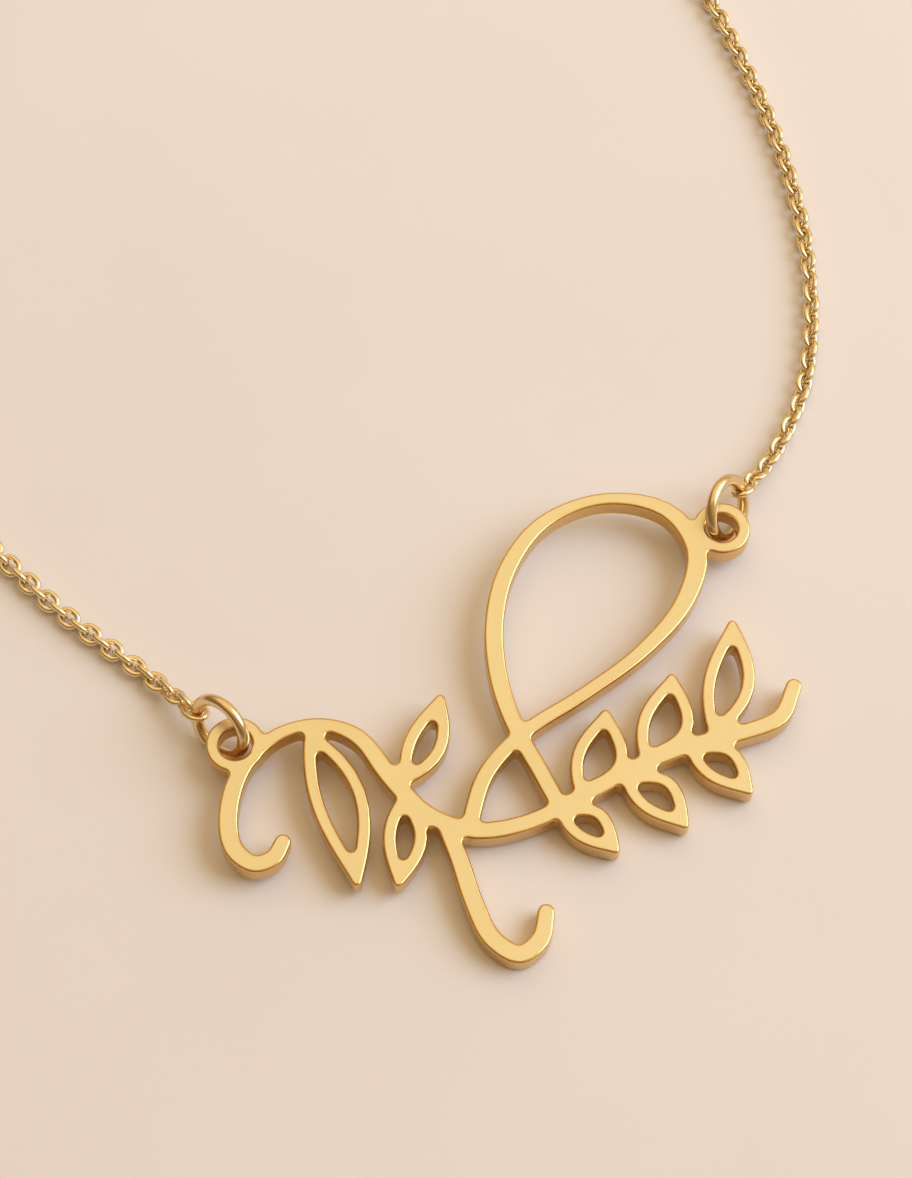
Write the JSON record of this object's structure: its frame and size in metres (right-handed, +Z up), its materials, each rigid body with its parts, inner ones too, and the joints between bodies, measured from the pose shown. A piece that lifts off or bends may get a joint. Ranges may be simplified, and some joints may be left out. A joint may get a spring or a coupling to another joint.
{
  "type": "nameplate necklace",
  "caption": "Fine cable chain necklace with a flat pierced vine flourish plate hung on jump rings, closed by a spring ring, laid open on a surface.",
  "frame": {"origin": "On the surface that the necklace lies on, midway across it and midway along it.", "axes": "+X along the line through the plate's two eyelets, from the eyelet at the flourish's start to the eyelet at its top; +Y from the plate to the clasp; +Z up from the surface."},
  "size_m": [0.0914, 0.2061, 0.0051],
  "materials": {
    "gold_plate": "satin-polished yellow gold plate",
    "gold_wire": "polished yellow gold plate"
  },
  "bodies": {
    "root": {"nameplate": "gold_plate", "jump_ring_left": "gold_wire", "jump_ring_right": "gold_wire", "chain_left": "gold_wire", "chain_right": "gold_wire", "clasp": "gold_wire", "end_ring": "gold_wire"}
  },
  "joints": []
}
